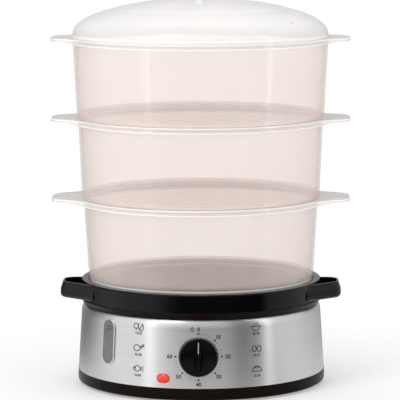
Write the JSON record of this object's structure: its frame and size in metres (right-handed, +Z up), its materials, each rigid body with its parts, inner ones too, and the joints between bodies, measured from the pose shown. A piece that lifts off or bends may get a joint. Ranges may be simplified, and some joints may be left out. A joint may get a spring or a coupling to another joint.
{
  "type": "electric food steamer",
  "caption": "Electric food steamer: round steel-banded base with a timer knob, lamp and water window, a black drip tray with side scoops, stacked clear baskets with grip tabs, and a domed lid.",
  "frame": {"origin": "on the surface the feet stand on, under the middle of the base", "axes": "+Z up through the stack, -Y out of the control panel, +X to the right of a person facing the panel"},
  "size_m": [0.299, 0.2657, 0.3984],
  "materials": {
    "black_plastic": "satin black moulding",
    "dark_plastic": "matt dark moulding",
    "gloss_black": "gloss black moulding",
    "pale_plastic": "matt ivory moulding",
    "steel_sheet": "brushed round the band",
    "plate_steel": "rolled sheet",
    "screw_steel": "plated",
    "element_metal": "heat darkened",
    "trim_chrome": "polished",
    "bell_brass": "plain",
    "foot_rubber": "matt black",
    "seal_rubber": "silicone",
    "lead_rubber": "silicone sleeve",
    "window_plastic": "clear, slightly smoked",
    "lamp_red": "clear red, gloss",
    "lamp_glass": "clear bulb",
    "basket_plastic": "frosted clear plastic with a warm grey tint",
    "lid_plastic": "clear plastic, lightly frosted"
  },
  "bodies": {
    "base": {"base_housing": "black_plastic", "steel_band": "steel_sheet", "bottom_plate": "dark_plastic", "rubber_feet": "foot_rubber", "plate_screws": "screw_steel", "water_tank": "dark_plastic", "level_window": "window_plastic", "window_bezel": "trim_chrome", "window_gasket": "seal_rubber", "boiling_plate": "plate_steel", "tube_element": "element_metal", "element_gasket": "seal_rubber", "element_clamp": "plate_steel", "clamp_screws": "screw_steel", "thermostat": "pale_plastic", "thermal_fuse": "pale_plastic", "steam_ring": "dark_plastic", "timer_case": "pale_plastic", "timer_cover": "plate_steel", "timer_screws": "screw_steel", "timer_bell": "bell_brass", "knob_ring": "trim_chrome", "lamp_lens": "lamp_red", "neon_lamp": "lamp_glass", "terminal_block": "pale_plastic", "inner_leads": "lead_rubber", "cord_gland": "foot_rubber"},
    "knob": {"control_knob": "gloss_black", "timer_shaft": "screw_steel", "timer_gear": "pale_plastic"},
    "pinion": {"timer_pinion": "bell_brass"},
    "tray": {"drip_tray": "gloss_black"},
    "lower_basket": {"basket_lower": "basket_plastic"},
    "middle_basket": {"basket_middle": "basket_plastic"},
    "upper_basket": {"basket_upper": "basket_plastic"},
    "lid": {"lid": "lid_plastic"}
  },
  "joints": [
    {"name": "knob_turn", "type": "hinge", "parent": "base", "child": "knob", "pos_m": [0, -0.12206, 0.045], "axis": [0, 0.9981, -0.0624], "range_deg": [0, 270]},
    {"name": "pinion_turn", "type": "hinge", "parent": "base", "child": "pinion", "pos_m": [0, -0.1229, 0.03153], "axis": [0, 0.9981, -0.0624], "range_deg": [-540, 0]},
    {"name": "tray_lift", "type": "slide", "parent": "base", "child": "tray", "axis": [0, 0, 1], "range_m": [0, 0.06]},
    {"name": "lower_basket_lift", "type": "slide", "parent": "tray", "child": "lower_basket", "axis": [0, 0, 1], "range_m": [0, 0.1]},
    {"name": "middle_basket_lift", "type": "slide", "parent": "lower_basket", "child": "middle_basket", "axis": [0, 0, 1], "range_m": [0, 0.1]},
    {"name": "upper_basket_lift", "type": "slide", "parent": "middle_basket", "child": "upper_basket", "axis": [0, 0, 1], "range_m": [0, 0.1]},
    {"name": "lid_lift", "type": "slide", "parent": "upper_basket", "child": "lid", "axis": [0, 0, 1], "range_m": [0, 0.06]}
  ],
  "couplings": [
    {"joint": "pinion_turn", "follows": "knob_turn", "ratio": -2}
  ]
}
